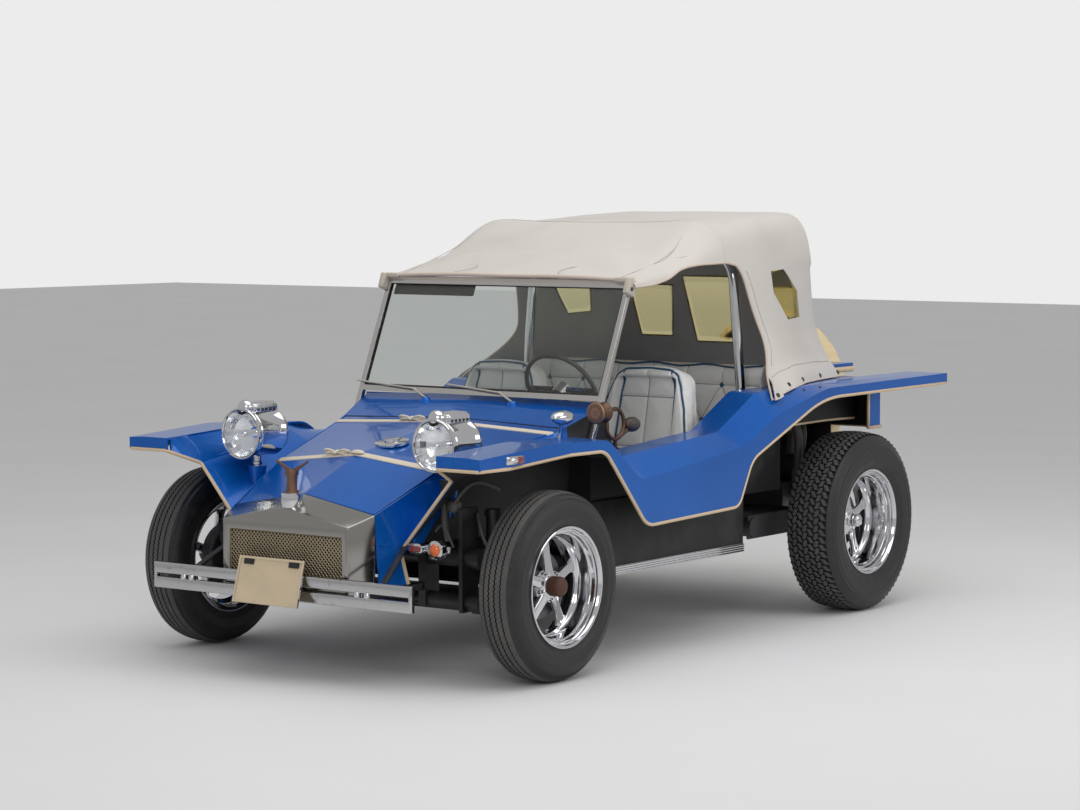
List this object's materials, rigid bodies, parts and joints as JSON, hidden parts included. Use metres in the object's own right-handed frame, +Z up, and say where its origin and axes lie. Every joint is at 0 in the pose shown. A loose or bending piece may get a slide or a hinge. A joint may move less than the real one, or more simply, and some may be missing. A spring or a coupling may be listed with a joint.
{
  "type": "dune buggy with canvas top",
  "caption": "Open beach car with flat-topped wings, peaked grille, canvas top, bucket seats and chromed wheels.",
  "frame": {"origin": "on the floor under the middle of the overall length and width", "axes": "+Z up, -Y the way the car faces, +X its left side"},
  "size_m": [1.672, 3.3328, 1.569],
  "materials": {
    "candy_blue": "metal-flake blue gel coat, gloss",
    "cream_welt": "tan cream welt",
    "cream_leather": "cream leather",
    "chrome": "bright",
    "satin_metal": "polished, slightly dull",
    "gold_mesh": "tan-gold",
    "copper": "worn copper brown",
    "brass": "worn",
    "black_paint": "satin black",
    "grey_castings": "dull cast",
    "lamp_glass": "clear ribbed",
    "glass": "clear",
    "vinyl": "yellowed clear vinyl",
    "canvas": "off-white canvas",
    "white_vinyl": "white pleated vinyl with blue piping",
    "cream_cover": "gathered cream cover",
    "dark_plastic": "dark brown-black",
    "cream_metal": "dull",
    "plate_tan": "blank",
    "amber": "amber lens in bright ring",
    "tyre": "black rubber",
    "rim_chrome": "bright five-spoke"
  },
  "bodies": {
    "chassis": {"body_tub": "candy_blue", "hood": "candy_blue", "edge_trim": "cream_welt", "hood_straps": "cream_leather", "filler_cap": "chrome", "floor_pan": "black_paint", "sill_strips": "chrome", "radiator_shell": "satin_metal", "grille_mesh": "gold_mesh", "radiator_cap": "copper", "headlamp_shells": "chrome", "headlamp_lenses": "lamp_glass", "windscreen_frame": "satin_metal", "windscreen_glass": "glass", "sun_visor": "dark_plastic", "wipers": "cream_metal", "roll_hoop": "chrome", "soft_top_windows": "vinyl", "soft_top": "canvas", "seat_left": "white_vinyl", "seat_right": "white_vinyl", "rear_bench": "white_vinyl", "steering_column": "black_paint", "floor_controls": "black_paint", "horn": "brass", "mirror": "chrome", "bumper": "chrome", "bumper_brackets": "black_paint", "number_plate": "plate_tan", "front_axle": "black_paint", "transaxle": "grey_castings", "engine_block": "grey_castings", "exhaust": "black_paint", "signal_lamps": "amber", "spare_wheel": "cream_cover"},
    "knuckle_left_body": {"knuckle_left": "black_paint"},
    "knuckle_right_body": {"knuckle_right": "black_paint"},
    "track_rod_body": {"track_rod": "black_paint"},
    "steering_wheel_body": {"steering_wheel": "dark_plastic"},
    "wheel_front_left": {"tyre_front_left": "tyre", "rim_front_left": "rim_chrome"},
    "wheel_front_right": {"tyre_front_right": "tyre", "rim_front_right": "rim_chrome"},
    "wheel_rear_left": {"tyre_rear_left": "tyre", "rim_rear_left": "rim_chrome"},
    "wheel_rear_right": {"tyre_rear_right": "tyre", "rim_rear_right": "rim_chrome"}
  },
  "joints": [
    {"name": "steer_left", "type": "hinge", "parent": "chassis", "child": "knuckle_left_body", "pos_m": [0.642, -1.1055, 0.336], "axis": [0, 0, 1], "range_deg": [-28, 28]},
    {"name": "steer_right", "type": "hinge", "parent": "chassis", "child": "knuckle_right_body", "pos_m": [-0.642, -1.1055, 0.336], "axis": [0, 0, 1], "range_deg": [-28, 28]},
    {"name": "track_rod_shift", "type": "slide", "parent": "chassis", "child": "track_rod_body", "axis": [1, 0, 0], "range_m": [-0.064, 0.064]},
    {"name": "steering_wheel_turn", "type": "hinge", "parent": "chassis", "child": "steering_wheel_body", "pos_m": [0.25, -0.3235, 0.922], "axis": [0, 0.866, 0.5], "range_deg": [-421, 421]},
    {"name": "spin_front_left", "type": "hinge", "parent": "knuckle_left_body", "child": "wheel_front_left", "pos_m": [0.753, -1.1055, 0.324], "axis": [1, 0, 0], "continuous": true},
    {"name": "spin_front_right", "type": "hinge", "parent": "knuckle_right_body", "child": "wheel_front_right", "pos_m": [-0.753, -1.1055, 0.324], "axis": [1, 0, 0], "continuous": true},
    {"name": "spin_rear_left", "type": "hinge", "parent": "chassis", "child": "wheel_rear_left", "pos_m": [0.711, 0.9945, 0.353], "axis": [1, 0, 0], "continuous": true},
    {"name": "spin_rear_right", "type": "hinge", "parent": "chassis", "child": "wheel_rear_right", "pos_m": [-0.711, 0.9945, 0.353], "axis": [1, 0, 0], "continuous": true}
  ],
  "couplings": [
    {"joint": "steer_right", "follows": "steer_left", "ratio": 1},
    {"joint": "track_rod_shift", "follows": "steer_left", "m_per_rad": -0.128},
    {"joint": "steering_wheel_turn", "follows": "steer_left", "ratio": 15}
  ]
}
